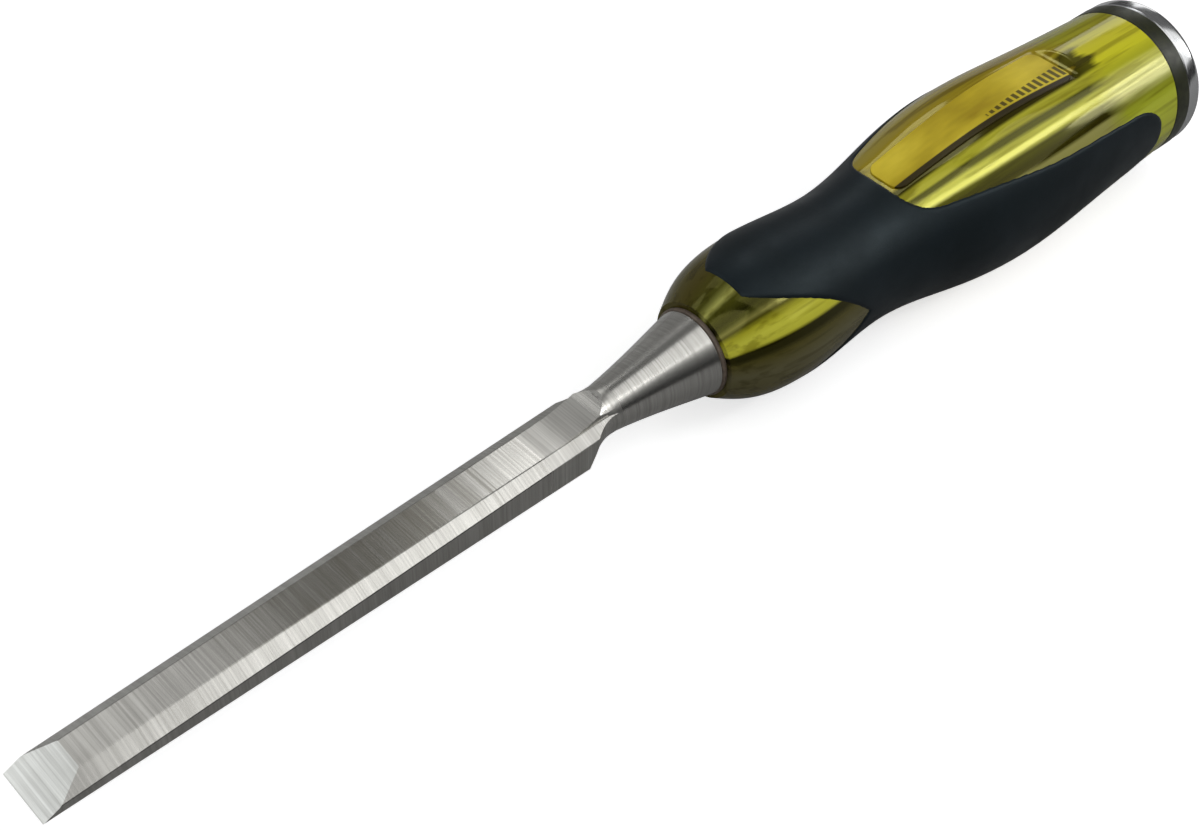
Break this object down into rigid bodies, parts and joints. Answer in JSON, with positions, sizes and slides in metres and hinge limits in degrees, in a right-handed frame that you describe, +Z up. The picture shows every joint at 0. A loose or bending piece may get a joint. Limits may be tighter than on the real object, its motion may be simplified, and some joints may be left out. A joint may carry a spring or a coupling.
{
  "type": "bench chisel",
  "caption": "Bevel-edge bench chisel: ground steel blade, conical bolster, through tang, translucent yellow handle with soft black grip and steel strike cap",
  "frame": {"origin": "under the middle of the tool's length, on the tool's middle plane, at the level of the lowest point of the handle", "axes": "+X from the cutting edge to the strike cap along the tool, +Z up out of the bevelled face, +Y to the left looking from the edge to the cap"},
  "size_m": [0.273, 0.0382, 0.0363],
  "materials": {
    "blade_steel": "ground blade with fine cross-wise lines, satin bolster",
    "washer_tan": "matt tan ring",
    "acetate_yellow": "glossy translucent yellow-green acetate",
    "grip_black": "soft matt blue-black overmould with a fine grain",
    "label_amber": "glossy amber inlay with a dark border line, no text",
    "washer_black": "dark ring",
    "cap_steel": "polished and nickel bright"
  },
  "bodies": {
    "root": {"blade": "blade_steel", "bolster_washer": "washer_tan", "handle_core": "acetate_yellow", "soft_grip": "grip_black", "top_label": "label_amber", "bottom_label": "label_amber", "cap_washer": "washer_black", "strike_cap": "cap_steel"}
  },
  "joints": []
}
